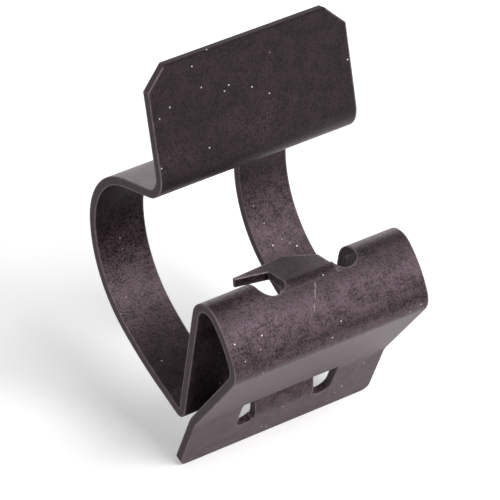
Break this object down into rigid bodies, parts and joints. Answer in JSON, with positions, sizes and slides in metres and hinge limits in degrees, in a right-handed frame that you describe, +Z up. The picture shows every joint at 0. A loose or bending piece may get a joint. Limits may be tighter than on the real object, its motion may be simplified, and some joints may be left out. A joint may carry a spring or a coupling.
{
  "type": "flexible conduit hanger",
  "caption": "Spring steel strip bent into an open loop for conduit, with a thumb plate, a hook and a barbed clip jaw.",
  "frame": {"origin": "middle of the seat on the rear face of the lip", "axes": "+X across the strip, +Y back through the loop, +Z up towards the thumb plate"},
  "size_m": [0.032, 0.0346, 0.0596],
  "materials": {
    "spring_steel": "blackened and oiled spring steel"
  },
  "bodies": {
    "root": {"hanger": "spring_steel"}
  },
  "joints": []
}
